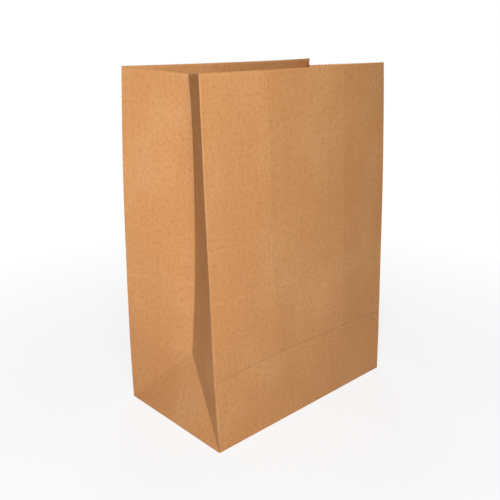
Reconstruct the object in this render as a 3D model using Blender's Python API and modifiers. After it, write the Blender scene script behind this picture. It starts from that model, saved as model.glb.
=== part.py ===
"""An open, flat-bottomed bag folded from one sheet of brown kraft paper.

The sheet is laid out flat as a blank, scored where it folds and pinked along its mouth. It is then
folded into a tube with a gusset down each side, and its lower end is folded over and pasted into the
bottom. The outer face of the paper is modelled, and a Solidify modifier gives it the paper's thickness,
with more plies at the lapped seam and in the bottom.

Units are metres, +Z is up, and the front panel faces -Y. The origin is the middle of the bottom.
"""

from math import ceil, sqrt

import bmesh
import bpy
from mathutils import Vector
from mathutils.geometry import delaunay_2d_cdt

MM = 0.001

# The paper
PAPER = 0.15 * MM
PLY_STEP = 0.6 * MM  # run over which the pressed edge of a ply falls away
PLY_SETTLE = 6 * MM  # run over which a ply settles back after it has crossed another

# The bag, standing open
FACE_WIDTH = 304.8 * MM
GUSSET_WIDTH = 177.8 * MM
HEIGHT = 431.8 * MM

# The folds and laps
TUCK_HEIGHT = 92.5 * MM  # height along the paper of the point where a gusset's two slanting folds meet
SEAM_LAP = 25 * MM
BOTTOM_LAP = 38 * MM
TOOTH_PITCH = 3 * MM
TOOTH_DEPTH = 0.8 * MM

# How the opened bag stands: each upright fold's shift from its bottom corner to the mouth, as (x, y),
# and how far it bows out of line halfway up
LEAN = {
    ("front", "left"): Vector((-8.3, 11.7)) * MM,
    ("front", "right"): Vector((-9.2, 14.3)) * MM,
    ("back", "left"): Vector((5.4, -8.0)) * MM,
    ("back", "right"): Vector((5.2, -24.3)) * MM,
}
BOW = {
    ("front", "left"): Vector((4.5, 7.5)) * MM,
    ("front", "right"): Vector((4.1, 0.0)) * MM,
    ("back", "left"): Vector((-10.9, -10.1)) * MM,
    ("back", "right"): Vector((-10.6, 0.0)) * MM,
}
FRONT_CROWN = 5 * MM  # how far the middle of the front panel stands out between its edges
BACK_HOLLOW = 14 * MM  # how far the middle of the back panel dips in at the mouth
RIGHT_TUCK = 9 * MM  # how much deeper the right gusset is drawn in at the mouth

# How finely the sheet is divided
CELL = 20 * MM
TUCK_CELLS = 5

HALF_FACE = FACE_WIDTH / 2
HALF_GUSSET = GUSSET_WIDTH / 2
FLAP = HALF_GUSSET + BOTTOM_LAP / 2  # how far each bottom flap reaches from its fold
FLAP_END = HALF_FACE - FLAP  # half the length of a long flap's free edge
MOST_PLIES = 5
SEAM_START = HALF_FACE - SEAM_LAP / 2
SEAM_END = HALF_FACE + SEAM_LAP / 2
CORNER = {
    ("front", "left"): Vector((-HALF_FACE, -HALF_GUSSET)),
    ("front", "right"): Vector((HALF_FACE, -HALF_GUSSET)),
    ("back", "left"): Vector((-HALF_FACE, HALF_GUSSET)),
    ("back", "right"): Vector((HALF_FACE, HALF_GUSSET)),
}


def clear_scene():
    for obj in list(bpy.data.objects):
        bpy.data.objects.remove(obj, do_unlink=True)


def evenly(start, end, count):
    """Places from start to end, both included, at equal distances."""
    return [start + (end - start) * k / count for k in range(count + 1)]


def divided(breaks):
    """Places at every break, and evenly between them no further apart than a cell."""
    places = [breaks[0]]
    for start, end in zip(breaks, breaks[1:]):
        places += evenly(start, end, ceil((end - start) / CELL))[1:]
    return places


def ramp(value, start, end):
    """0 up to start, 1 from end on, and straight between."""
    return min(1.0, max(0.0, (value - start) / (end - start)))


# The shape that the folds take


def upright_fold(panel, side, height):
    """Point on the fold between a panel and a gusset, at a height along the paper."""
    share = height / HEIGHT
    lean = LEAN[panel, side]
    place = CORNER[panel, side] + lean * share + BOW[panel, side] * 4 * share * (1 - share)
    return Vector((place.x, place.y, height * sqrt(1 - (lean.length / HEIGHT) ** 2)))


def gusset_fold(side, height):
    """Point on a gusset's centre fold above the tuck, drawn in so that each half keeps its width."""
    front = upright_fold("front", side, height)
    back = upright_fold("back", side, height)
    across = (back - front).xy
    inward = Vector((across.y, -across.x)).normalized() * (1 if side == "left" else -1)
    depth = sqrt(max(HALF_GUSSET**2 - (across.length / 2) ** 2, PAPER**2))
    if side == "right":
        depth += RIGHT_TUCK * ramp(height, TUCK_HEIGHT, HEIGHT) ** 2
    middle = (front.xy + back.xy) / 2 + inward * depth
    set_in = HALF_FACE - abs(tuck_middle(side).x)
    drop = TUCK_HEIGHT - sqrt(TUCK_HEIGHT**2 - set_in**2)
    return Vector((middle.x, middle.y, height - drop))


def tuck_middle(side):
    """Where the centre fold starts, seen from above."""
    front = upright_fold("front", side, TUCK_HEIGHT)
    back = upright_fold("back", side, TUCK_HEIGHT)
    depth = sqrt(max(HALF_GUSSET**2 - ((back - front).xy.length / 2) ** 2, PAPER**2))
    inward = 1 if side == "left" else -1
    return (front.xy + back.xy) / 2 + Vector((inward * depth, 0))


def slanting_fold(panel, side, height):
    """Point on the fold that runs from a bottom corner up to the tuck."""
    corner = upright_fold(panel, side, 0)
    return corner.lerp(gusset_fold(side, TUCK_HEIGHT), height / TUCK_HEIGHT)


def gusset_point(side, across, height):
    """Point on a gusset, where across runs from 0 at the front panel to its width at the back one."""
    panel = "front" if across <= HALF_GUSSET else "back"
    from_panel = across if panel == "front" else GUSSET_WIDTH - across
    edge = upright_fold(panel, side, height)
    if height >= TUCK_HEIGHT:
        return edge.lerp(gusset_fold(side, height), from_panel / HALF_GUSSET)
    to_slant = HALF_GUSSET * height / TUCK_HEIGHT
    if from_panel < to_slant:
        return edge.lerp(slanting_fold(panel, side, height), from_panel / to_slant)
    front = slanting_fold("front", side, height)
    back = slanting_fold("back", side, height)
    return front.lerp(back, (across - to_slant) / (GUSSET_WIDTH - 2 * to_slant))


def panel_point(panel, across, height):
    """Point on the front or back panel, where across runs from its left edge to its right one."""
    left = upright_fold(panel, "left", height)
    right = upright_fold(panel, "right", height)
    place = left.lerp(right, across / FACE_WIDTH)
    from_edge = min(across, FACE_WIDTH - across)
    share = height / HEIGHT
    if panel == "front":
        # The folded gussets have pressed a line into the panel at their own depth, where it bends.
        place.y -= FRONT_CROWN * ramp(from_edge, 0, HALF_GUSSET) * ramp(height, 0, TUCK_HEIGHT)
    else:
        hollow = 4 * across * (FACE_WIDTH - across) / FACE_WIDTH**2
        place.y -= BACK_HOLLOW * hollow * share**2
        place.y += seam_lift(across) * ramp(height, 0, PLY_SETTLE)
    return place


def seam_lift(across):
    """How far the seam's outer ply stands off: it crosses the inner ply, then settles back."""
    if across < SEAM_START - PLY_STEP / 2:
        return 0.0
    return PAPER * (1 - ramp(across, SEAM_END + PLY_STEP, SEAM_END + PLY_STEP + PLY_SETTLE))


def folded(across, height):
    """Where folding the tube takes a point of the blank."""
    across %= 2 * (FACE_WIDTH + GUSSET_WIDTH)
    if across <= FACE_WIDTH:
        return panel_point("front", across, height)
    across -= FACE_WIDTH
    if across <= GUSSET_WIDTH:
        return gusset_point("right", across, height)
    across -= GUSSET_WIDTH
    if across <= FACE_WIDTH:
        return panel_point("back", FACE_WIDTH - across, height)
    return gusset_point("left", GUSSET_WIDTH - (across - FACE_WIDTH), height)


# The blank


def blank_columns():
    """Places of the blank's columns, and which of them are the four upright folds."""
    front = divided([0, HALF_GUSSET, FACE_WIDTH - HALF_GUSSET, FACE_WIDTH])
    gusset = evenly(0, GUSSET_WIDTH, 2 * TUCK_CELLS)
    seam = [
        SEAM_START - PLY_STEP,
        SEAM_START,
        SEAM_END,
        SEAM_END + PLY_STEP,
        SEAM_END + PLY_STEP + PLY_SETTLE,
    ]
    back = divided([0, HALF_GUSSET, *seam, FACE_WIDTH - HALF_GUSSET, FACE_WIDTH])
    back = [FACE_WIDTH - place for place in reversed(back)]
    columns = [0.0]
    folds = [0]
    for run in (front, gusset, back, gusset):
        start = columns[-1]
        columns += [start + place for place in run[1:]]
        folds.append(len(columns) - 1)
    return columns, folds


def blank_rows():
    tuck = evenly(0, TUCK_HEIGHT, TUCK_CELLS)
    return tuck + divided([TUCK_HEIGHT, HEIGHT])[1:]


def flat_grid(columns, rows):
    """A flat sheet divided at the given places, and its vertices by column and row."""
    sheet = bmesh.new()
    spans = (len(columns) - 1, len(rows) - 1)
    bmesh.ops.create_grid(sheet, x_segments=spans[0], y_segments=spans[1], size=0.5)
    at = {}
    for vert in sheet.verts:
        column = round((vert.co.x + 0.5) * spans[0])
        row = round((vert.co.y + 0.5) * spans[1])
        vert.co = (columns[column], rows[row], 0)
        at[column, row] = vert
    return sheet, at


def score_slanting_folds(sheet, at, folds):
    """Splits the cells that the slanting folds cross, from each bottom corner up to the tuck."""
    right_front, right_back, left_back, left_front = folds[1:]
    for corner, way in ((right_front, 1), (right_back, -1), (left_back, 1), (left_front, -1)):
        line = [at[corner + way * k, k] for k in range(TUCK_CELLS + 1)]
        bmesh.ops.connect_verts(sheet, verts=line)


def pink_mouth(sheet):
    """Cuts the mouth's edge into teeth: every other point along it is set down."""
    for edge in [e for e in sheet.edges if all(v.co.y > HEIGHT - PAPER for v in e.verts)]:
        teeth = max(1, round(edge.calc_length() / TOOTH_PITCH))
        start, end = sorted(edge.verts, key=lambda vert: vert.co.x)
        places = evenly(start.co.x, end.co.x, 2 * teeth)[1:-1]
        for k, place in enumerate(places):
            share = (place - start.co.x) / (end.co.x - start.co.x)
            edge, start = bmesh.utils.edge_split(edge, start, share)
            if k % 2 == 0:
                start.co.y -= TOOTH_DEPTH
            edge = next(e for e in start.link_edges if end in e.verts)


# The bottom


def flap_outline(panel):
    """Corners of a long bottom flap, folded in over the gussets' flaps, starting at its fold."""
    front = [
        Vector((-HALF_FACE, -HALF_GUSSET)),
        Vector((HALF_FACE, -HALF_GUSSET)),
        Vector((FLAP_END, FLAP - HALF_GUSSET)),
        Vector((-FLAP_END, FLAP - HALF_GUSSET)),
    ]
    if panel == "front":
        return front
    return [Vector((-point.x, -point.y)) for point in front]


def on_flap(point, panel):
    outline = flap_outline(panel)
    for start, end in zip(outline, outline[1:] + outline[:1]):
        if (end - start).normalized().cross(point - start) < -PLY_STEP / 4:
            return False
    return True


def skirt(panel):
    """The line where the ply beside a long flap's edge has fallen away from it."""
    start, end, far_end, far_start = flap_outline(panel)
    along = (end - start).normalized()
    in_from_fold = Vector((-along.y, along.x))
    diagonal_out = (in_from_fold - along).normalized() * PLY_STEP
    left = start + (along + in_from_fold) * PLY_SETTLE + diagonal_out
    far_left = far_start + in_from_fold * PLY_STEP - along * PLY_STEP * (sqrt(2) - 1)
    mirrored = [end + along * -(p - start).dot(along) + in_from_fold * (p - start).dot(in_from_fold)
                for p in (far_left, left)]
    return [start, left, far_left, *mirrored, end]


def outer_height(point):
    """Height of the bottom's outer face. The front flap is outermost, then the back one."""
    if on_flap(point, "front"):
        return 0.0
    if on_flap(point, "back"):
        edge = FLAP - HALF_GUSSET + PLY_STEP
        return PAPER * (1 - ramp(point.y, edge, edge + PLY_SETTLE))
    return 2 * PAPER * ramp(HALF_FACE - abs(point.x), 0, PLY_SETTLE)


def plies(point):
    """How many plies lie on one another at a point of the bottom."""
    margin = PLY_SETTLE - PLY_STEP / 4
    if HALF_FACE - abs(point.x) < margin or HALF_GUSSET - abs(point.y) < margin:
        return 1
    doubled = abs(point.x) > FLAP_END - PLY_STEP / 4
    count = 1 if doubled else 0
    for panel in ("front", "back"):
        if on_flap(point, panel):
            count += 2 if doubled else 1
    return min(count, MOST_PLIES)


def polyline(points, closed=False):
    pairs = list(zip(points, points[1:]))
    return pairs + [(points[-1], points[0])] if closed else pairs


def bottom_lines(rim):
    """Every line that the bottom's paper bends along: its rim, its flaps' edges and their skirts."""
    inset_x = HALF_FACE - PLY_SETTLE
    inset_y = HALF_GUSSET - PLY_SETTLE
    settled = [Vector((x * inset_x, y * inset_y)) for x, y in ((-1, -1), (1, -1), (1, 1), (-1, 1))]
    lines = polyline(rim, closed=True) + polyline(settled, closed=True)
    for panel in ("front", "back"):
        lines += polyline(flap_outline(panel)[1:] + flap_outline(panel)[:1])
        lines += polyline(skirt(panel))
    for side in (-1, 1):
        for reach in (FLAP_END, FLAP_END - PLY_STEP):
            lines.append((Vector((side * reach, -inset_y)), Vector((side * reach, inset_y))))
    settle_line = FLAP - HALF_GUSSET + PLY_STEP + PLY_SETTLE
    slant_reach = HALF_FACE - (HALF_GUSSET - settle_line)
    lines.append((Vector((-slant_reach, settle_line)), Vector((slant_reach, settle_line))))
    return lines


def add_bottom(sheet, rim, weights):
    """Fills the rim with the bottom, cut along its lines."""
    points = []
    edges = []
    for start, end in bottom_lines(rim):
        edges.append((len(points), len(points) + 1))
        points += [start, end]
    places, _, faces, *_ = delaunay_2d_cdt(points, edges, [], 0, MM * 0.01)
    verts = []
    for place in places:
        vert = sheet.verts.new((place.x, place.y, outer_height(place)))
        vert[weights] = plies(place)
        verts.append(vert)
    for face in faces:
        sheet.faces.new([verts[k] for k in reversed(face)])


# The bag


def kraft_paper():
    paper = bpy.data.materials.new("kraft_paper")
    paper.use_nodes = True
    shader = paper.node_tree.nodes["Principled BSDF"]
    shader.inputs["Base Color"].default_value = (0.50, 0.27, 0.12, 1)
    shader.inputs["Roughness"].default_value = 0.72
    shader.inputs["Metallic"].default_value = 0.0
    return paper


def seam_plies(across):
    start = FACE_WIDTH + GUSSET_WIDTH
    place = FACE_WIDTH - (across - start)
    margin = PLY_STEP / 4
    return 2 if SEAM_START - margin < place < SEAM_END + margin else 1


def paper_bag(collection):
    columns, folds = blank_columns()
    sheet, at = flat_grid(columns, blank_rows())
    score_slanting_folds(sheet, at, folds)
    pink_mouth(sheet)
    bmesh.ops.triangulate(sheet, faces=sheet.faces[:])
    weights = sheet.verts.layers.float.new("plies")
    for vert in sheet.verts:
        vert[weights] = seam_plies(vert.co.x)
        vert.co = folded(vert.co.x, vert.co.y)
    rim = [folded(place, 0).xy for place in columns[:-1]]
    add_bottom(sheet, rim, weights)
    bmesh.ops.remove_doubles(sheet, verts=sheet.verts[:], dist=PAPER / 20)
    bmesh.ops.recalc_face_normals(sheet, faces=sheet.faces[:])
    mesh = bpy.data.meshes.new("paper_bag")
    counts = [vert[weights] for vert in sheet.verts]
    sheet.verts.layers.float.remove(weights)
    sheet.to_mesh(mesh)
    sheet.free()
    mesh.materials.append(kraft_paper())
    bag = bpy.data.objects.new("paper_bag", mesh)
    collection.objects.link(bag)
    group = bag.vertex_groups.new(name="plies")
    for index, count in enumerate(counts):
        group.add([index], count / MOST_PLIES, "REPLACE")
    shell = bag.modifiers.new("paper thickness", "SOLIDIFY")
    shell.thickness = PAPER * MOST_PLIES
    shell.offset = -1
    shell.vertex_group = group.name
    shell.thickness_vertex_group = 0
    shell.use_even_offset = True
    return bag


def build():
    clear_scene()
    collection = bpy.data.collections.new("kraft_paper_bag")
    bpy.context.scene.collection.children.link(collection)
    paper_bag(collection)


build()
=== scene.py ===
# %% [markdown]
# # A brown kraft paper bag
#
# The real bag is one sheet of paper. A machine folds it into a tube with a gusset down each side, pastes
# the lap down the back, folds the lower end over into a flat bottom, and cuts the mouth with a toothed
# knife. It could be modelled as a box with creases pushed in, but a box has the wrong lengths wherever
# paper folds. This lesson works in the machine's order instead: a flat blank, its teeth, its folds and its
# bottom, then the paper's thickness, and last its look, the light and the camera.

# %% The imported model
from math import ceil, cos, radians, sin, sqrt

import bmesh
import bpy
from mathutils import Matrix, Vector, noise
from mathutils.geometry import delaunay_2d_cdt


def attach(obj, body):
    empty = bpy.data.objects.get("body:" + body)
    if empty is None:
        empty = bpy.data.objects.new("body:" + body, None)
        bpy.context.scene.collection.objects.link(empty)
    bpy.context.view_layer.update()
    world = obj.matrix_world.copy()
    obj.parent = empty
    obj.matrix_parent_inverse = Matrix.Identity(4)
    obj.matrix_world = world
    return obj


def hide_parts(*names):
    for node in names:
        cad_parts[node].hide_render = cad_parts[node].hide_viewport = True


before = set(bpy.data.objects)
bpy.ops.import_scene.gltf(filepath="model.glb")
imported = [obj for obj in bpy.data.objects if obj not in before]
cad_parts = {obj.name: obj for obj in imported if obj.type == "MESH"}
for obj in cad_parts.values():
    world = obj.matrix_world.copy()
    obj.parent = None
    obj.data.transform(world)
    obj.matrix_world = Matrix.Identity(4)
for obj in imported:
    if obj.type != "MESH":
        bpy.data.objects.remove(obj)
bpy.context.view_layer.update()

# %% [markdown]
# ## Sizes
#
# These are the bag's own sizes, as in its solid. A blank is easiest to think of with two coordinates:
# `across`, from the front panel's left edge right round the tube, and `height`, up the paper from the
# bottom fold. The panels follow one another in the order front, right gusset, back, left gusset. Every
# later step works in those two. `AROUND` has the signs of a rectangle's corners, going round it.

# %% The bag's sizes
MM = 0.001
PAPER = 0.15 * MM
FACE_WIDTH = 304.8 * MM
GUSSET_WIDTH = 177.8 * MM
HEIGHT = 431.8 * MM
TUCK_HEIGHT = 92.5 * MM
HALF_FACE = FACE_WIDTH / 2
HALF_GUSSET = GUSSET_WIDTH / 2
TUBE = 2 * (FACE_WIDTH + GUSSET_WIDTH)
BACK_LEFT_EDGE = 2 * FACE_WIDTH + GUSSET_WIDTH
AROUND = ((-1, -1), (1, -1), (1, 1), (-1, 1))
print("round the tube:", round(TUBE / MM), "mm")

# %% [markdown]
# ## How this bag stands
#
# A bag that a hand has opened never stands square. Each of its four upright folds leans a little from
# its bottom corner to the mouth and bows a little on the way. Such shifts could be sculpted in at the
# end, but then the paper would stretch. Here they come first, as a lean and a bow for each fold seen
# from above, and everything else hangs on those four lines.

# %% Lean and bow of the upright folds
CORNER = {
    ("front", "left"): Vector((-HALF_FACE, -HALF_GUSSET)),
    ("front", "right"): Vector((HALF_FACE, -HALF_GUSSET)),
    ("back", "left"): Vector((-HALF_FACE, HALF_GUSSET)),
    ("back", "right"): Vector((HALF_FACE, HALF_GUSSET)),
}
LEAN = {
    ("front", "left"): Vector((-8.3, 11.7)) * MM,
    ("front", "right"): Vector((-9.2, 14.3)) * MM,
    ("back", "left"): Vector((5.4, -8.0)) * MM,
    ("back", "right"): Vector((5.2, -24.3)) * MM,
}
BOW = {
    ("front", "left"): Vector((4.5, 7.5)) * MM,
    ("front", "right"): Vector((4.1, 0.0)) * MM,
    ("back", "left"): Vector((-10.9, -10.1)) * MM,
    ("back", "right"): Vector((-10.6, 0.0)) * MM,
}


def upright_fold(panel, side, height):
    """Point on the fold between a panel and a gusset. The bow is fullest halfway up."""
    share = height / HEIGHT
    lean = LEAN[panel, side]
    place = CORNER[panel, side] + lean * share + BOW[panel, side] * 4 * share * (1 - share)
    return Vector((place.x, place.y, height * sqrt(1 - (lean.length / HEIGHT) ** 2)))


for side in ("left", "right"):
    apart = (upright_fold("back", side, HEIGHT) - upright_fold("front", side, HEIGHT)).length
    print(side, "gusset's folds are", round(apart / MM), "mm apart at the mouth")

# %% [markdown]
# ## Drawing in the gussets
#
# Paper bends but doesn't stretch. A gusset is as wide as the bag is deep at its bottom, so where the front
# and back folds stand closer together than that, the fold between them has to move inwards. Moving it by
# eye would stretch the paper. Instead, its place is the tip of a triangle whose three sides are known. Only
# the right gusset is pushed in by a given amount, a little further towards the mouth.

# %% The gussets' centre folds
RIGHT_TUCK = 9 * MM


def ramp(value, start, end):
    """0 up to start, 1 from end on, and straight between."""
    return min(1.0, max(0.0, (value - start) / (end - start)))


def drawn_in(side, height):
    """Where the centre fold lies, seen from above."""
    front = upright_fold("front", side, height)
    back = upright_fold("back", side, height)
    across = (back - front).xy
    inward = Vector((across.y, -across.x)).normalized() * (1 if side == "left" else -1)
    depth = sqrt(max(HALF_GUSSET**2 - (across.length / 2) ** 2, PAPER**2))
    if side == "right":
        depth += RIGHT_TUCK * ramp(height, TUCK_HEIGHT, HEIGHT) ** 2
    return (front.xy + back.xy) / 2 + inward * depth


def gusset_fold(side, height):
    """Point on a gusset's centre fold, above the tuck, and lower by what the slant below it takes up."""
    set_in = HALF_FACE - abs(drawn_in(side, TUCK_HEIGHT).x)
    drop = TUCK_HEIGHT - sqrt(TUCK_HEIGHT**2 - set_in**2)
    place = drawn_in(side, height)
    return Vector((place.x, place.y, height - drop))


for side in ("left", "right"):
    set_in = HALF_FACE - abs(gusset_fold(side, HEIGHT).x)
    print("at the mouth, the", side, "gusset is drawn in by", round(set_in / MM), "mm")

# %% [markdown]
# ## The triangle above the bottom
#
# Below the tuck, where the gusset stops being drawn in, two slanting folds run down to the bottom
# corners, with a flat triangle between them. A height and a distance across fall in one of three faces:
# beside a panel, between the slants, or on the open gusset above. Across each face the paper runs
# straight from one fold to the next, so a point on it is a blend between those two folds, and
# neighbouring faces meet without a gap.

# %% The gussets' faces


def slanting_fold(panel, side, height):
    """Point on the fold from a bottom corner up to the tuck."""
    corner = upright_fold(panel, side, 0)
    return corner.lerp(gusset_fold(side, TUCK_HEIGHT), height / TUCK_HEIGHT)


def gusset_point(side, across, height):
    """Point on a gusset, counted across from the front panel."""
    panel = "front" if across <= HALF_GUSSET else "back"
    from_panel = across if panel == "front" else GUSSET_WIDTH - across
    edge = upright_fold(panel, side, height)
    if height >= TUCK_HEIGHT:
        return edge.lerp(gusset_fold(side, height), from_panel / HALF_GUSSET)
    to_slant = HALF_GUSSET * height / TUCK_HEIGHT
    if from_panel < to_slant:
        return edge.lerp(slanting_fold(panel, side, height), from_panel / to_slant)
    front = slanting_fold("front", side, height)
    back = slanting_fold("back", side, height)
    return front.lerp(back, (across - to_slant) / (GUSSET_WIDTH - 2 * to_slant))


tip = gusset_point("left", HALF_GUSSET, TUCK_HEIGHT)
print("tip of the left triangle, in mm:", [round(value / MM) for value in tip])

# %% [markdown]
# ## The front and back panels
#
# While the bag lay flat, its folded gussets pressed a line into each panel at half the bag's depth from
# either edge. The opened front still bends along these. The back panel sags in at the mouth and carries
# the lapped seam. Two overlapping sheets would have to be kept from touching, so the lap is one sheet
# whose outer face stands off by the thickness of the paper and settles again beyond the lap.

# %% Panels
PLY_STEP = 0.6 * MM
PLY_SETTLE = 6 * MM
SEAM_LAP = 25 * MM
SEAM_START = HALF_FACE - SEAM_LAP / 2
SEAM_END = HALF_FACE + SEAM_LAP / 2
SEAM_SETTLED = SEAM_END + PLY_STEP + PLY_SETTLE
FRONT_CROWN = 5 * MM
BACK_HOLLOW = 14 * MM


def seam_lift(across):
    """How far the back's outer face stands off at the seam, counted across from its left edge."""
    if across < SEAM_START - PLY_STEP / 2:
        return 0.0
    return PAPER * (1 - ramp(across, SEAM_END + PLY_STEP, SEAM_SETTLED))


def panel_point(panel, across, height):
    """Point on the front or back panel, counted across from its left edge."""
    left = upright_fold(panel, "left", height)
    right = upright_fold(panel, "right", height)
    place = left.lerp(right, across / FACE_WIDTH)
    from_edge = min(across, FACE_WIDTH - across)
    if panel == "front":
        place.y -= FRONT_CROWN * ramp(from_edge, 0, HALF_GUSSET) * ramp(height, 0, TUCK_HEIGHT)
    else:
        hollow = 4 * across * (FACE_WIDTH - across) / FACE_WIDTH**2
        place.y -= BACK_HOLLOW * hollow * (height / HEIGHT) ** 2
        place.y += seam_lift(across) * ramp(height, 0, PLY_SETTLE)
    return place


mouth_gap = panel_point("back", HALF_FACE, HEIGHT).y - panel_point("front", HALF_FACE, HEIGHT).y
print("the mouth is", round(mouth_gap / MM), "mm deep in its middle")

# %% [markdown]
# ## The whole tube
#
# One function now takes any point of the blank to its place on the folded bag. It only has to find which
# panel the point is on. The back and the left gusset are met from their far edges on the way round.

# %% Folding a point


def folded(across, height):
    """Where folding takes a point of the blank."""
    across %= TUBE
    if across <= FACE_WIDTH:
        return panel_point("front", across, height)
    across -= FACE_WIDTH
    if across <= GUSSET_WIDTH:
        return gusset_point("right", across, height)
    across -= GUSSET_WIDTH
    if across <= FACE_WIDTH:
        return panel_point("back", FACE_WIDTH - across, height)
    return gusset_point("left", GUSSET_WIDTH - (across - FACE_WIDTH), height)


print("the blank's first and last columns meet:", (folded(0, HEIGHT) - folded(TUBE, HEIGHT)).length, "m")

# %% [markdown]
# ## Softening the folds
#
# A fold in paper isn't a mathematical line: its fibres are crushed for about a millimetre to either side.
# A bevel could round it, but bevels make a muddle where several folds meet at odd angles. Taking each
# point as the mean of itself and its neighbours on the blank rounds every fold over that width and leaves
# flat paper as it was.

# %% Soft folds
FOLD_SOFTNESS = 1.1 * MM


def softened(across, height):
    """A folded point with its fold crushed round. The bottom's edge stays, since the bottom joins it."""
    if height < FOLD_SOFTNESS:
        return folded(across, height)
    reach = min(FOLD_SOFTNESS, HEIGHT - height) if height < HEIGHT else 0
    steps = ((0, 0), (FOLD_SOFTNESS, 0), (-FOLD_SOFTNESS, 0), (0, reach), (0, -reach))
    total = Vector((0, 0, 0))
    for aside, up in steps:
        total += folded(across + aside, height + up)
    return total / len(steps)


crushed = (softened(FACE_WIDTH, HEIGHT / 2) - folded(FACE_WIDTH, HEIGHT / 2)).length
print("rounding sets the front right fold back by", round(crushed / MM, 2), "mm")

# %% [markdown]
# ## Valleys of the stored bag
#
# A stored bag lies with its bottom folded up against the front, so the opened front keeps two shallow
# valleys across it, one at the tuck and a weaker one above. The tuck's line dips towards the panel's
# edges. A bump in the material could suggest them, but real valleys also bend the light over the paper
# beside them, so they go into the mesh.

# %% Valleys across the front
STORED_FOLD = 182 * MM
TUCK_DIP = 7.5 * MM
TUCK_VALLEY = 1.1 * MM
STORED_VALLEY = 0.4 * MM
VALLEY_REACH = 24 * MM


def valley(distance):
    """Depth of a valley of depth 1, at a distance from its line."""
    return max(0.0, 1 - abs(distance) / VALLEY_REACH)


def pressed_in(across, height):
    """Depth of the valleys across the front, where the bag was folded flat."""
    if across > FACE_WIDTH:
        return 0.0
    from_edge = min(across, FACE_WIDTH - across)
    tuck = TUCK_HEIGHT - TUCK_DIP * max(0.0, 1 - from_edge / HALF_GUSSET)
    return TUCK_VALLEY * valley(height - tuck) + STORED_VALLEY * valley(height - STORED_FOLD)


print("the front is pressed in by", round(pressed_in(HALF_FACE, TUCK_HEIGHT) / MM, 2), "mm at its tuck")

# %% [markdown]
# ## Uneven paper
#
# Handled paper is uneven by about a millimetre between its lowest and highest places. Points pushed about
# by hand would look pushed, so noise moves them: long waves first, and small ripples on them. It fades
# out at the bottom, where pasted plies hold the paper flat.

# %% Waves and ripples
WAVE = 0.9 * MM
WAVES_PER_METRE = (11.0, 6.0)
WAVE_SLICE = 3.7
RIPPLE = 0.18 * WAVE
RIPPLES_PER_METRE = (45, 14)
RIPPLE_SLICE = 8.1
EVEN_BELOW = 3 * TUCK_HEIGHT / 2


def smooth(value, start, end):
    """A ramp that eases in and out."""
    share = ramp(value, start, end)
    return share * share * (3 - 2 * share)


def blank_noise(across, height, per_metre, noise_slice):
    """Noise on the blank, with so many waves to a metre across and up."""
    return noise.noise(Vector((across * per_metre[0], height * per_metre[1], noise_slice)))


def unevenness(across, height):
    """How far handled paper stands off its plane."""
    wave = blank_noise(across, height, WAVES_PER_METRE, WAVE_SLICE)
    ripple = blank_noise(across, height, RIPPLES_PER_METRE, RIPPLE_SLICE)
    return (WAVE * wave + RIPPLE * ripple) * smooth(height, 0, EVEN_BELOW)


tries = [unevenness(TUBE * aside / 100, HEIGHT * up / 100) for aside in range(101) for up in range(101)]
print("lowest and highest places of the paper, in mm:", round(min(tries) / MM, 2), round(max(tries) / MM, 2))

# %% [markdown]
# ## Where the blank is divided
#
# The blank is a flat grid. A grid of equal cells would cut across the folds and blunt them, so its
# columns and rows fall on the folds and divide the paper evenly between. The front and back have an extra
# column close beside each upright fold, which gives the crushed fold faces of its own to catch the light.
# In the gussets, the rows below the tuck and the columns keep step, so that the slanting folds run from
# corner to corner through the cells.

# %% Columns and rows
CELL = 4 * MM
TUCK_CELLS = 22
FOLD_COLUMN = 1.3 * MM


def evenly(start, end, count):
    """Places from start to end, with a count of equal gaps."""
    return [start + (end - start) * k / count for k in range(count + 1)]


def divided(breaks):
    """Places at every break, and evenly between them no further apart than a cell."""
    places = [breaks[0]]
    for start, end in zip(breaks, breaks[1:]):
        places += evenly(start, end, ceil((end - start) / CELL))[1:]
    return places


def with_fold_columns(places):
    """Adds a column close beside the fold at either end."""
    return sorted(places + [FOLD_COLUMN, FACE_WIDTH - FOLD_COLUMN])


def blank_columns():
    """Places of the blank's columns, and the numbers of those on the upright folds."""
    front = with_fold_columns(divided([0, HALF_GUSSET, FACE_WIDTH - HALF_GUSSET, FACE_WIDTH]))
    gusset = evenly(0, GUSSET_WIDTH, 2 * TUCK_CELLS)
    seam = [SEAM_START - PLY_STEP, SEAM_START, SEAM_END, SEAM_END + PLY_STEP, SEAM_SETTLED]
    back = divided([0, HALF_GUSSET, *seam, FACE_WIDTH - HALF_GUSSET, FACE_WIDTH])
    back = with_fold_columns([FACE_WIDTH - place for place in reversed(back)])
    columns = [0.0]
    folds = [0]
    for run in (front, gusset, back, gusset):
        start = columns[-1]
        columns += [start + place for place in run[1:]]
        folds.append(len(columns) - 1)
    return columns, folds


columns, folds = blank_columns()
rows = evenly(0, TUCK_HEIGHT, TUCK_CELLS) + divided([TUCK_HEIGHT, HEIGHT])[1:]
print("blank:", len(columns), "columns,", len(rows), "rows")

# %% [markdown]
# ## Cutting and scoring the blank
#
# Blender's own grid is made first and its points are then moved to their columns and rows, because that
# gives the faces for nothing. A fold only shows crisply if edges run along it. The upright folds have
# such edges already, and the slanting ones get them by splitting the cells that they cross.

# %% The scored grid


def flat_grid(columns, rows):
    """The blank before it is scored, and its points by column and row."""
    sheet = bmesh.new()
    spans = (len(columns) - 1, len(rows) - 1)
    half = 0.5
    bmesh.ops.create_grid(sheet, x_segments=spans[0], y_segments=spans[1], size=half)
    at = {}
    for vert in sheet.verts:
        column = round((vert.co.x + half) * spans[0])
        row = round((vert.co.y + half) * spans[1])
        vert.co = (columns[column], rows[row], 0)
        at[column, row] = vert
    return sheet, at


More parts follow.
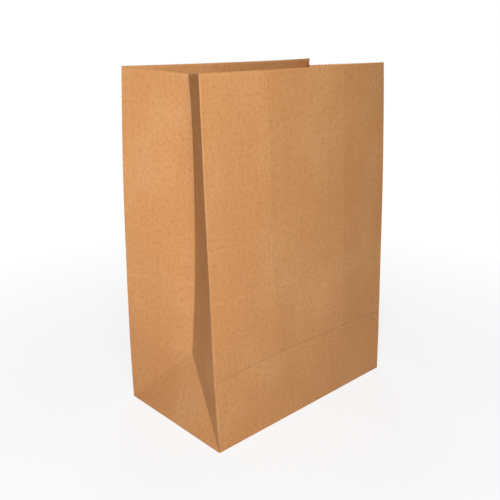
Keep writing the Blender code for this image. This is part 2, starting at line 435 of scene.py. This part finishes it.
def score_slanting_folds(sheet, at, folds):
    """Splits the cells that the slanting folds cross, from each bottom corner up to the tuck."""
    right_front, right_back, left_back, left_front = folds[1:]
    for corner, way in ((right_front, 1), (right_back, -1), (left_back, 1), (left_front, -1)):
        line = [at[corner + way * k, k] for k in range(TUCK_CELLS + 1)]
        bmesh.ops.connect_verts(sheet, verts=line)


sheet, at = flat_grid(columns, rows)
score_slanting_folds(sheet, at, folds)
print("scored blank:", len(sheet.faces), "faces")

# %% [markdown]
# ## The toothed mouth
#
# A toothed knife cuts such bags from the roll, which leaves small points along the mouth. Cutting them
# away with a second solid would leave slivers. Each edge along the mouth is split at every tooth instead,
# and every other new point is set down by the tooth's depth.

# %% Pinking the mouth
TOOTH_PITCH = 3 * MM
TOOTH_DEPTH = 0.8 * MM


def pink_mouth(sheet):
    """Cuts the mouth's edge into teeth."""
    for edge in [edge for edge in sheet.edges if all(vert.co.y > HEIGHT - PAPER for vert in edge.verts)]:
        teeth = max(1, round(edge.calc_length() / TOOTH_PITCH))
        start, end = sorted(edge.verts, key=lambda vert: vert.co.x)
        places = evenly(start.co.x, end.co.x, 2 * teeth)[1:-1]
        for k, place in enumerate(places):
            share = (place - start.co.x) / (end.co.x - start.co.x)
            edge, start = bmesh.utils.edge_split(edge, start, share)
            if k % 2 == 0:
                start.co.y -= TOOTH_DEPTH
            edge = next(linked for linked in start.link_edges if end in linked.verts)


pink_mouth(sheet)
print("pinked blank:", len(sheet.verts), "points")

# %% [markdown]
# ## The bottom's flaps
#
# The gussets' lower ends are folded in first, then the back and front flaps over them, with their
# corners turned under on a slant, and the free edges are lapped and pasted. From below it looks like the
# back of an envelope. Separate flaps would lie in the same plane and show through each other, so the
# bottom is one surface that steps by a ply or two at each flap's edge. A point that is off an edge by
# less than a small slack counts as on it.

# %% Outlines of the flaps
BOTTOM_LAP = 38 * MM
FLAP = HALF_GUSSET + BOTTOM_LAP / 2
FLAP_END = HALF_FACE - FLAP
EDGE_SLACK = PLY_STEP / 4


def flap_outline(panel):
    """Corners of a long flap, anticlockwise from above, starting at the bag's edge."""
    front = [
        Vector((-HALF_FACE, -HALF_GUSSET)),
        Vector((HALF_FACE, -HALF_GUSSET)),
        Vector((FLAP_END, FLAP - HALF_GUSSET)),
        Vector((-FLAP_END, FLAP - HALF_GUSSET)),
    ]
    if panel == "front":
        return front
    return [Vector((-point.x, -point.y)) for point in front]


def on_flap(point, panel):
    """Whether a point is on a flap or on its edge."""
    outline = flap_outline(panel)
    for start, end in zip(outline, outline[1:] + outline[:1]):
        if (end - start).normalized().cross(point - start) < -EDGE_SLACK:
            return False
    return True


def outer_height(point):
    """Height of the bottom's outer face. The front flap is outermost, then the back one."""
    if on_flap(point, "front"):
        return 0.0
    if on_flap(point, "back"):
        edge = FLAP - HALF_GUSSET + PLY_STEP
        return PAPER * (1 - ramp(point.y, edge, edge + PLY_SETTLE))
    return 2 * PAPER * ramp(HALF_FACE - abs(point.x), 0, PLY_SETTLE)


print("the flaps reach", round(FLAP / MM, 1), "mm over the bottom and overlap by",
      round(BOTTOM_LAP / MM), "mm")

# %% [markdown]
# ## How many plies
#
# The bottom is thickest at its two ends, where a flap's turned corner lies on the gusset's end. Counting
# plies at each point gives the inner face: it lies that many papers above the outer one. By the rim all
# of them run together into the one ply of the wall.

# %% Plies of the bottom and the seam
MOST_PLIES = 5


def plies(point):
    """Number of plies at a point of the bottom."""
    margin = PLY_SETTLE - EDGE_SLACK
    if HALF_FACE - abs(point.x) < margin or HALF_GUSSET - abs(point.y) < margin:
        return 1
    doubled = abs(point.x) > FLAP_END - EDGE_SLACK
    count = 1 if doubled else 0
    for panel in ("front", "back"):
        if on_flap(point, panel):
            count += 2 if doubled else 1
    return min(count, MOST_PLIES)


def seam_plies(across):
    """Number of plies of the wall, counted across the blank."""
    place = BACK_LEFT_EDGE - across
    return 2 if SEAM_START - EDGE_SLACK < place < SEAM_END + EDGE_SLACK else 1


print("plies in the bottom's middle:", plies(Vector((0, 0))))

# %% [markdown]
# ## Where the bottom's paper bends
#
# A ply doesn't drop straight off the edge of the one below: it falls away over a short slope. So beside
# each flap's edge runs a second line, its skirt, and further lines mark where the plies have settled.

# %% Lines beside the flaps


def skirt(panel):
    """The line where the ply beside a long flap's edge has fallen away from it."""
    start, end, _, far_start = flap_outline(panel)
    along = (end - start).normalized()
    up = Vector((-along.y, along.x))
    slant_out = (up - along).normalized() * PLY_STEP
    left = start + (along + up) * PLY_SETTLE + slant_out
    far_left = far_start + up * PLY_STEP - along * PLY_STEP * (sqrt(2) - 1)
    mirrored = [end - along * (place - start).dot(along) + up * (place - start).dot(up)
                for place in (far_left, left)]
    return [start, left, far_left, *mirrored, end]


def chain(points, closed=False):
    """Pairs of neighbouring points along a line."""
    pairs = list(zip(points, points[1:]))
    return pairs + [(points[-1], points[0])] if closed else pairs


print("lines in a flap's skirt:", len(chain(skirt("front"))))

# %% [markdown]
# ## The bottom's triangles
#
# Placing the triangles by hand would be slow and easy to get wrong. A constrained Delaunay triangulation
# finds them, and keeps every line that it is given as an edge. The rim comes first among the lines, so
# the bottom has a point at each of the tube's columns and will meet it exactly.

# %% The bottom, cut along its lines
SAME_PLACE = 0.01 * MM


def bottom_lines(rim):
    """Every line that the bottom's paper bends along."""
    inset_x = HALF_FACE - PLY_SETTLE
    inset_y = HALF_GUSSET - PLY_SETTLE
    settled = [Vector((x * inset_x, y * inset_y)) for x, y in AROUND]
    lines = chain(rim, closed=True) + chain(settled, closed=True)
    for panel in ("front", "back"):
        lines += chain(flap_outline(panel)[1:] + flap_outline(panel)[:1]) + chain(skirt(panel))
    for reach in (FLAP_END, FLAP_END - PLY_STEP):
        for side in (-1, 1):
            lines.append((Vector((side * reach, -inset_y)), Vector((side * reach, inset_y))))
    settle_line = FLAP - HALF_GUSSET + PLY_STEP + PLY_SETTLE
    slant_reach = HALF_FACE - (HALF_GUSSET - settle_line)
    lines.append((Vector((-slant_reach, settle_line)), Vector((slant_reach, settle_line))))
    return lines


def bottom_mesh(rim):
    """Places and faces of the bottom, cut along its lines."""
    points = []
    edges = []
    for start, end in bottom_lines(rim):
        edges.append((len(points), len(points) + 1))
        points += [start, end]
    places, _, faces, *_ = delaunay_2d_cdt(points, edges, [], 0, SAME_PLACE)
    return places, faces


rim = [folded(place, 0).xy for place in columns[:-1]]
bottom_places, bottom_faces = bottom_mesh(rim)
print("bottom:", len(bottom_faces), "faces")

# %% [markdown]
# ## Folding it up
#
# Each point of the blank keeps its flat place as a UV coordinate, one metre of paper to one unit, and
# then goes where the folding takes it. The look of the paper is drawn in that flat space, so its fibres
# run up every face of the bag and turn with each fold, as they do in the real sheet. The number of plies
# at each point is written down on the way, for the step after this one.

# %% Folding the tube
BOTTOM_UV = Vector((0.5, 0.6))


def fold_tube(sheet, blank, counts):
    """Moves every point of the blank to its folded place."""
    bmesh.ops.triangulate(sheet, faces=sheet.faces[:])
    for face in sheet.faces:
        for loop in face.loops:
            loop[blank].uv = loop.vert.co.xy
    offsets = {}
    for vert in sheet.verts:
        across, height = vert.co.xy
        vert[counts] = seam_plies(across)
        offsets[vert] = unevenness(across % TUBE, height) - pressed_in(across % TUBE, height)
        vert.co = softened(across, height)
    sheet.normal_update()
    for vert, offset in offsets.items():
        vert.co += vert.normal * offset


def add_bottom(sheet, blank, counts):
    """Adds the bottom's points and faces inside the tube's lower rim."""
    verts = []
    for place in bottom_places:
        vert = sheet.verts.new((place.x, place.y, outer_height(place)))
        vert[counts] = plies(place)
        verts.append(vert)
    for face in bottom_faces:
        made = sheet.faces.new([verts[k] for k in reversed(face)])
        for loop in made.loops:
            loop[blank].uv = loop.vert.co.xy + BOTTOM_UV


blank = sheet.loops.layers.uv.new("blank")
counts = sheet.verts.layers.float.new("plies")
fold_tube(sheet, blank, counts)
add_bottom(sheet, blank, counts)
print("folded sheet:", len(sheet.faces), "faces")

# %% [markdown]
# ## Joining, and giving it thickness
#
# The tube still has a slit where its first and last columns meet, and the bottom only touches the rim, so
# points in the same place are welded. The sheet is then given its thickness by a Solidify modifier. One
# thickness everywhere would lose the laps, so a vertex group holds each point's share of the most plies.

# %% The paper bag as an object
WELD = PAPER / 5
SHARP_FOLD = radians(10)


def sheet_object(sheet, counts):
    """The folded sheet as an object, with a vertex group that holds its plies."""
    bmesh.ops.remove_doubles(sheet, verts=sheet.verts[:], dist=WELD)
    bmesh.ops.recalc_face_normals(sheet, faces=sheet.faces[:])
    plies_at = [vert[counts] for vert in sheet.verts]
    sheet.verts.layers.float.remove(counts)
    mesh = bpy.data.meshes.new("kraft_sheet")
    sheet.to_mesh(mesh)
    sheet.free()
    mesh.shade_smooth()
    mesh.set_sharp_from_angle(angle=SHARP_FOLD)
    bag = bpy.data.objects.new("kraft_sheet", mesh)
    bpy.context.scene.collection.objects.link(bag)
    group = bag.vertex_groups.new(name="plies")
    for index, count in enumerate(plies_at):
        group.add([index], count / MOST_PLIES, "REPLACE")
    return bag, group


bag, group = sheet_object(sheet, counts)
shell = bag.modifiers.new("paper thickness", "SOLIDIFY")
shell.thickness = PAPER * MOST_PLIES
shell.offset = -1
shell.vertex_group = group.name
shell.thickness_vertex_group = 0
shell.use_even_offset = True
print("sheet:", len(bag.data.vertices), "points before it is given its thickness")

# %% [markdown]
# ## Shader maths as expressions
#
# A material's nodes could be placed and linked one by one, but they are easier to read as sums. This
# class stands for one output of one node: a sum or product of two of them adds the Math node, and `node`
# adds a node of any other kind. Colours never go through Math nodes, which would turn them grey.

# %% Writing nodes as expressions


class Wire:
    """One output of a node in a material, or only the place where nodes are added."""

    def __init__(self, tree, socket=None):
        self.tree = tree
        self.socket = socket

    def node(self, kind, settings=None, sockets=None, output=0):
        """A new node of any kind, with its settings, then the values or wires of its sockets."""
        made = self.tree.nodes.new(kind)
        for name, value in (settings or {}).items():
            setattr(made, name, value)
        for key, value in (sockets or {}).items():
            if isinstance(value, Wire):
                self.tree.links.new(value.socket, made.inputs[key])
            else:
                made.inputs[key].default_value = value
        return Wire(self.tree, made.outputs[output] if made.outputs else None)

    def math(self, operation, *values, clamp=False):
        """A Math node on values and wires, in the order given."""
        settings = {"operation": operation, "use_clamp": clamp}
        return self.node("ShaderNodeMath", settings, dict(enumerate(values)))

    def __add__(self, other):
        return self.math("ADD", self, other)

    def __sub__(self, other):
        return self.math("SUBTRACT", self, other)

    def __rsub__(self, other):
        return self.math("SUBTRACT", other, self)

    def __mul__(self, other):
        return self.math("MULTIPLY", self, other)

    def __truediv__(self, other):
        return self.math("DIVIDE", self, other)

    __radd__ = __add__
    __rmul__ = __mul__

    def size(self):
        """Its value without its sign."""
        return self.math("ABSOLUTE", self)

    def least(self, other):
        """The smaller of two values."""
        return self.math("MINIMUM", self, other)

    def held(self):
        """Kept between 0 and 1."""
        return self.math("ADD", self, 0.0, clamp=True)

    def above(self, limit):
        """1 where it is above the limit, and 0 elsewhere."""
        return self.math("GREATER_THAN", self, limit)


print("a wire takes +, -, * and /, and works on either side of +, - and *")

# %% [markdown]
# ## Fibres, streaks and clouds
#
# Unbleached kraft is a mat of brown fibres. Close up it shows short fibres, mostly along the way the
# sheet ran through the machine, with darker and lighter flecks. From further off it shows faint streaks
# and clouds. A photograph of paper would repeat and would fit one size only. Noise doesn't repeat, and
# stretching it on the blank makes each of these, from clouds of a hand's width to single fibres.

# %% Noise on the blank


def streaked(blank, across, up, detail):
    """Noise on the blank, with so many cells to a metre across and up the sheet."""
    stretched = blank.node("ShaderNodeVectorMath", {"operation": "MULTIPLY"}, {0: blank, 1: (across, up, 1)})
    sockets = {"Vector": stretched, "Scale": 1.0, "Detail": detail, "Roughness": 0.6}
    return blank.node("ShaderNodeTexNoise", {"noise_dimensions": "2D"}, sockets)


def more_than(noise_value, start, strength):
    """A mask that grows as noise rises above a start."""
    return ((noise_value - start) * strength).held()


def less_than(noise_value, start, strength):
    """A mask that grows as noise falls below a start."""
    return ((start - noise_value) * strength).held()


def tinted(base, other, amount):
    """Moves a colour towards another by an amount. A Mix node's colours are its sockets 6 and 7."""
    return base.node("ShaderNodeMix", {"data_type": "RGBA"}, {0: amount, 6: base, 7: other}, output=2)


print("noise and tints are ready for the paper")

# %% [markdown]
# ## Worn and highlit folds, and shade at the tuck
#
# Where the bag was folded flat, handling rubs the raised fibres pale, unevenly. The pale lines are partly
# painted highlight too, standing in for the light that the crease ridges catch, and the darker line just
# above the tuck on the front is painted shade. These marks could be painted into an image, but the blank
# makes them simple: each is a line at a known distance across or up the sheet, so a mask is 1 on it and
# falls off beside it.

# %% Lines of the stored folds
RUB_WIDTH = 1.6 * MM
PANEL_RUB_WIDTH = 1.8 * MM
TUCK_RUB_AND_HIGHLIGHT = 0.4
PANEL_RUB_AND_HIGHLIGHT = 0.35
FLAP_RUB_AND_HIGHLIGHT = 0.45
TRIANGLE_RUB_AND_HIGHLIGHT = 0.6
SHADE_ABOVE_TUCK = 2.4 * MM
SHADE_WIDTH = 3 * MM
WEAR_STRENGTH = 2.2
WEAR_LOSS = 0.45


def line(distance, width):
    """1 on a line, falling to 0 at its width."""
    return (1 - distance.size() / width).held()


def from_front_edge(across):
    """Distance from the nearer edge of the front panel."""
    return across.least(FACE_WIDTH - across)


def above_tuck(across, height):
    """Height above the front's tuck, which dips towards the panel's edges."""
    return height - TUCK_HEIGHT + TUCK_DIP * (1 - from_front_edge(across) / HALF_GUSSET).held()


def rubbed_and_highlit_folds(blank, across, height):
    """The lines worn pale where the bag was folded flat, which are partly painted highlight on the crease
    ridges.
    """
    on_front = 1 - across.above(FACE_WIDTH)
    upper = height.above(TUCK_HEIGHT)
    # Pale lines at the folds: partly worn fibres, partly painted highlight on the crease ridges.
    tuck_line = line(above_tuck(across, height), RUB_WIDTH) * on_front
    panel_line = line(from_front_edge(across) - HALF_GUSSET, PANEL_RUB_WIDTH) * on_front * upper
    flap_line = line(height - STORED_FOLD, RUB_WIDTH)
    triangle_line = line(across - (BACK_LEFT_EDGE + HALF_GUSSET), RUB_WIDTH) * (1 - upper)
    worn = (streaked(blank, across=22, up=22, detail=2) * WEAR_STRENGTH - WEAR_LOSS).held()
    rubbed_and_highlit = (tuck_line * TUCK_RUB_AND_HIGHLIGHT + panel_line * PANEL_RUB_AND_HIGHLIGHT + flap_line * FLAP_RUB_AND_HIGHLIGHT) * worn
    return (rubbed_and_highlit + triangle_line * TRIANGLE_RUB_AND_HIGHLIGHT).held()


def tuck_shade(across, height):
    """Painted shade: the darker line just above the front's tuck crease."""
    on_front = 1 - across.above(FACE_WIDTH)
    return line(above_tuck(across, height) - SHADE_ABOVE_TUCK, SHADE_WIDTH) * on_front


print("the tuck's line is drawn", round(TUCK_HEIGHT / MM, 1), "mm up, and the stored fold's",
      round(STORED_FOLD / MM), "mm up")

# %% [markdown]
# ## Pasted edges
#
# The step at a pasted edge is as small as the paper is thin. In life it still shows, because a little
# shade gathers beside it, so the shade is drawn. The flaps' edges are straight, so the distance to one is
# a sum, and the nearer of two such distances gives a flap's whole outline. The front flap hides part of
# the back one's edge.

# %% Shade beside the pasted edges
EDGE_SHADE = 1.2 * MM


def pasted_edges(across, height):
    """The thin shade beside the pasted edges of the bottom flaps and the back seam."""
    on_bottom = height.above(HEIGHT)
    from_end = HALF_FACE - (across - BOTTOM_UV.x).size()
    place = height - BOTTOM_UV.y
    reach = FLAP - HALF_GUSSET
    in_front = (reach - place).least((from_end - (place + HALF_GUSSET)) / sqrt(2))
    in_back = (reach + place).least((from_end - (HALF_GUSSET - place)) / sqrt(2))
    front_edge = line(in_front, EDGE_SHADE)
    back_edge = line(in_back, EDGE_SHADE) * (1 - in_front.above(0.0))
    seam_edge = line(BACK_LEFT_EDGE - SEAM_START - across, EDGE_SHADE)
    return (front_edge + back_edge).held() * on_bottom + seam_edge * (1 - on_bottom)


print("the seam's free edge is", round(SEAM_START / MM, 1), "mm from the back's left edge")

# %% [markdown]
# ## The paper's colour
#
# The paper starts as one brown, and each kind of noise then tints it paler or darker by its own amount.
# A single noise between two browns would be quicker, but it looks like cork. Paper has its clouds,
# streaks and fibres all at once, each at its own size.

# %% Colour of the paper
# The dark brown serves for dark grain and for painted shade, the pale one for pale grain and for painted
# highlight on the folds.
KRAFT = (0.59, 0.275, 0.102, 1)
KRAFT_PALE_AND_HIGHLIGHT = (0.76, 0.45, 0.225, 1)
KRAFT_DARK_AND_SHADE = (0.38, 0.165, 0.055, 1)
FLECK_TINT = 0.7
TUCK_SHADE_TINT = 0.3
EDGE_TINT = 0.6
RUB_AND_HIGHLIGHT_TINT = 0.45


def paper_grain(blank):
    """The noises that the paper is drawn with, from the widest to the finest."""
    return {
        "clouds": streaked(blank, across=14, up=9, detail=3),
        "streaks": streaked(blank, across=190, up=5, detail=3),
        "pulp": streaked(blank, across=260, up=200, detail=5),
        "flecks": streaked(blank, across=620, up=420, detail=2),
        "fibres": streaked(blank, across=900, up=330, detail=4),
    }


def paper_colour(grain, across, height, rubbed_and_highlit):
    """Brown, tinted by the paper's grain, then by painted shade above the tuck and beside the pasted edges,
    and last paler along the folds, for worn fibres and painted highlight.
    """
    colour = across.node("ShaderNodeRGB")
    colour.socket.default_value = KRAFT
    colour = tinted(colour, KRAFT_PALE_AND_HIGHLIGHT, more_than(grain["clouds"], start=0.42, strength=0.7))
    colour = tinted(colour, KRAFT_DARK_AND_SHADE, less_than(grain["streaks"], start=0.56, strength=0.32))
    colour = tinted(colour, KRAFT_DARK_AND_SHADE, less_than(grain["pulp"], start=0.52, strength=1.7))
    colour = tinted(colour, KRAFT_PALE_AND_HIGHLIGHT, more_than(grain["fibres"], start=0.5, strength=1.1))
    colour = tinted(colour, KRAFT_DARK_AND_SHADE, less_than(grain["flecks"], start=0.34, strength=7.0) * FLECK_TINT)
    # Painted shade just above the tuck crease.
    colour = tinted(colour, KRAFT_DARK_AND_SHADE, tuck_shade(across, height) * TUCK_SHADE_TINT)
    # Painted shade beside the pasted edges.
    colour = tinted(colour, KRAFT_DARK_AND_SHADE, pasted_edges(across, height) * EDGE_TINT)
    # Paler along the folds: worn fibres and painted highlight.
    return tinted(colour, KRAFT_PALE_AND_HIGHLIGHT, rubbed_and_highlit * RUB_AND_HIGHLIGHT_TINT)


print("the browns, from dark to pale:", KRAFT_DARK_AND_SHADE[:3], KRAFT[:3], KRAFT_PALE_AND_HIGHLIGHT[:3])

# %% [markdown]
# ## The kraft paper
#
# The noises of the colour also make the roughness and the small relief, so that a fibre which shows pale
# stands up too. The bump is slight, because the folds and waves that one can see are in the mesh already.
# Such paper has no coating, so it has little gloss.

# %% Kraft paper
PAPER_GLOSS = 0.2
PAPER_ROUGHNESS = 0.62
PULP_ROUGHNESS = 0.25
RUB_POLISH = 0.08
RELIEF = 0.35 * MM
RELIEF_STRENGTH = 0.35
FIBRE_RELIEF = 0.25
PULP_RELIEF = 0.35
STREAK_RELIEF = 0.12
RUB_RELIEF = 0.8


def new_material(name):
    """An empty material, and the wire that its nodes start from."""
    material = bpy.data.materials.new(name)
    material.use_nodes = True
    material.node_tree.nodes.clear()
    return material, Wire(material.node_tree)


def paper_relief(grain, rubbed_and_highlit):
    """The paper's small relief, as the direction that its surface faces."""
    raised = (grain["fibres"] * FIBRE_RELIEF + grain["pulp"] * PULP_RELIEF
              + grain["streaks"] * STREAK_RELIEF + rubbed_and_highlit * RUB_RELIEF)
    sockets = {"Strength": RELIEF_STRENGTH, "Distance": RELIEF, "Height": raised}
    return rubbed_and_highlit.node("ShaderNodeBump", {}, sockets)


def kraft_paper():
    """The bag's one material."""
    material, wires = new_material("kraft_paper")
    blank = wires.node("ShaderNodeUVMap", {"uv_map": "blank"})
    across = wires.node("ShaderNodeSeparateXYZ", {}, {0: blank}, output=0)
    height = wires.node("ShaderNodeSeparateXYZ", {}, {0: blank}, output=1)
    grain = paper_grain(blank)
    rubbed_and_highlit = rubbed_and_highlit_folds(blank, across, height)
    roughness = PAPER_ROUGHNESS + (grain["pulp"] - 0.5) * PULP_ROUGHNESS - rubbed_and_highlit * RUB_POLISH
    paper = wires.node("ShaderNodeBsdfPrincipled", {}, {
        "Base Color": paper_colour(grain, across, height, rubbed_and_highlit),
        "Roughness": roughness.held(),
        "Normal": paper_relief(grain, rubbed_and_highlit),
        "Specular IOR Level": PAPER_GLOSS,
    })
    wires.node("ShaderNodeOutputMaterial", {}, {"Surface": paper})
    return material


bag.data.materials.append(kraft_paper())
print("nodes in the paper:", len(bag.data.materials[0].node_tree.nodes))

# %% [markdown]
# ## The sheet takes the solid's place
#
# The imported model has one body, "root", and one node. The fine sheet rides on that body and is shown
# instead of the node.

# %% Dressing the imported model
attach(bag, "root")
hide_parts("paper_bag")
print("the sheet stands for the solid, in kraft paper")

# %% [markdown]
# ## Floor and backdrop
#
# The bag stands on plain white, as in a catalogue. More light would whiten a floor but bleach the bag
# too. So the floor is a real white surface that takes the bag's shadow, and a share of what the camera
# sees of it is a steady white. Away from the bag that share rises to all of it, which hides the line
# where floor and backdrop meet. The floor lies a hair below the paper, because two surfaces in the same
# plane would show through each other.

# %% White floor
FLOOR_REACH = 4.0
FLOOR_DROP = 0.1 * MM
FLOOR_WHITE = (0.86, 0.86, 0.86, 1)
WHITE = (1, 1, 1, 1)
FLOOR_STEADY = 0.8
SHADOW_REACH = (0.25, 0.75)


def white_floor():
    """White that keeps a share of the bag's shadow near it."""
    material, wires = new_material("white_floor")
    seen = wires.node("ShaderNodeLightPath", output="Is Camera Ray")
    matt = wires.node("ShaderNodeBsdfDiffuse", {}, {"Color": FLOOR_WHITE})
    steady = wires.node("ShaderNodeEmission", {}, {"Color": WHITE, "Strength": 1.0})
    place = wires.node("ShaderNodeTexCoord", output="Object")
    away = wires.node("ShaderNodeVectorMath", {"operation": "LENGTH"}, {0: place}, output="Value")
    near, far = SHADOW_REACH
    faded = ((away - near) / (far - near)).held()
    share = seen * (FLOOR_STEADY + faded * (1 - FLOOR_STEADY))
    mixed = wires.node("ShaderNodeMixShader", {}, {0: share, 1: matt, 2: steady})
    wires.node("ShaderNodeOutputMaterial", {}, {"Surface": mixed})
    return material


plane = bpy.data.meshes.new("floor")
plane.from_pydata([(x * FLOOR_REACH, y * FLOOR_REACH, 0) for x, y in AROUND], [], [(0, 1, 2, 3)])
plane.materials.append(white_floor())
floor = bpy.data.objects.new("floor", plane)
bpy.context.scene.collection.objects.link(floor)
floor.location.z = -FLOOR_DROP
print("floor:", 2 * FLOOR_REACH, "m wide")

# %% [markdown]
# ## Light
#
# One large soft lamp stands behind the camera and above it. It lights the front panel and the far half
# of the left gusset, which faces it, and leaves the near half, which turns away, in its own shade. A
# weaker one opposite keeps the back from going black. A sun lamp would be simpler, but these are close,
# so their light falls off down the bag, as it does in a small studio.

# %% Lamps
LAMP_AIM = Vector((0, 0, 0.22))
LAMP_DISTANCE = 1.3
LAMP_RISE = 31
LAMP_SIZE = 0.6
FRONT_LAMP_AZIMUTH = -45
FRONT_LAMP_POWER = 17
BACK_LAMP_AZIMUTH = 142
BACK_LAMP_POWER = 6


def direction(azimuth, rise):
    """Unit vector towards a place round the bag, with azimuth 0 in front of it."""
    turn = radians(azimuth)
    tilt = radians(rise)
    return Vector((sin(turn) * cos(tilt), -cos(turn) * cos(tilt), sin(tilt)))


def soft_lamp(name, azimuth, power):
    """A square lamp turned towards the bag."""
    data = bpy.data.lights.new(name, "AREA")
    data.shape = "SQUARE"
    data.size = LAMP_SIZE
    data.energy = power
    lamp = bpy.data.objects.new(name, data)
    towards = direction(azimuth, LAMP_RISE)
    lamp.location = LAMP_AIM + towards * LAMP_DISTANCE
    lamp.rotation_euler = towards.to_track_quat("Z", "Y").to_euler()
    bpy.context.scene.collection.objects.link(lamp)
    return lamp


for lamp in (
    soft_lamp("front lamp", FRONT_LAMP_AZIMUTH, FRONT_LAMP_POWER),
    soft_lamp("back lamp", BACK_LAMP_AZIMUTH, BACK_LAMP_POWER),
):
    print(lamp.name, "at", [round(value, 2) for value in lamp.location])

# %% [markdown]
# ## The room
#
# The world stands for the white walls around the bag. As light it is faint, so that the shaded half of
# the gusset stays deep. Where the camera looks straight at it, it is plain white.

# %% World
FILL = 0.04

world = bpy.data.worlds.new("white room")
bpy.context.scene.world = world
world.use_nodes = True
world.node_tree.nodes.clear()
wires = Wire(world.node_tree)
seen = wires.node("ShaderNodeLightPath", output="Is Camera Ray")
strength = FILL + seen * (1 - FILL)
white = wires.node("ShaderNodeBackground", {}, {"Color": WHITE, "Strength": strength})
wires.node("ShaderNodeOutputWorld", {}, {"Surface": white})
bpy.context.scene.view_settings.view_transform = "Standard"
print("fill from the world:", FILL)

# %% [markdown]
# ## Camera
#
# The camera's place was worked out from the corners and folds in the photograph: it stands close to the
# bag, off its front left corner, a little above the mouth. A longer lens further off would frame the bag
# as well, but only a close camera gives the strong perspective.

# %% Camera
CAMERA_PLACE = Vector((-0.5866, -0.6023, 0.4758))
CAMERA_AZIMUTH = -43.26
CAMERA_RISE = 18.5
LENS_MM = 48.41
SENSOR_MM = 36
NEAREST_SEEN = 10 * MM

camera_data = bpy.data.cameras.new("camera")
camera_data.sensor_width = SENSOR_MM
camera_data.lens = LENS_MM
camera_data.clip_start = NEAREST_SEEN
camera = bpy.data.objects.new("camera", camera_data)
camera.location = CAMERA_PLACE
camera.rotation_euler = (radians(90 - CAMERA_RISE), 0, radians(CAMERA_AZIMUTH))
bpy.context.scene.collection.objects.link(camera)
bpy.context.scene.camera = camera
print("camera:", round(CAMERA_PLACE.length, 2), "m from the middle of the bag's foot")
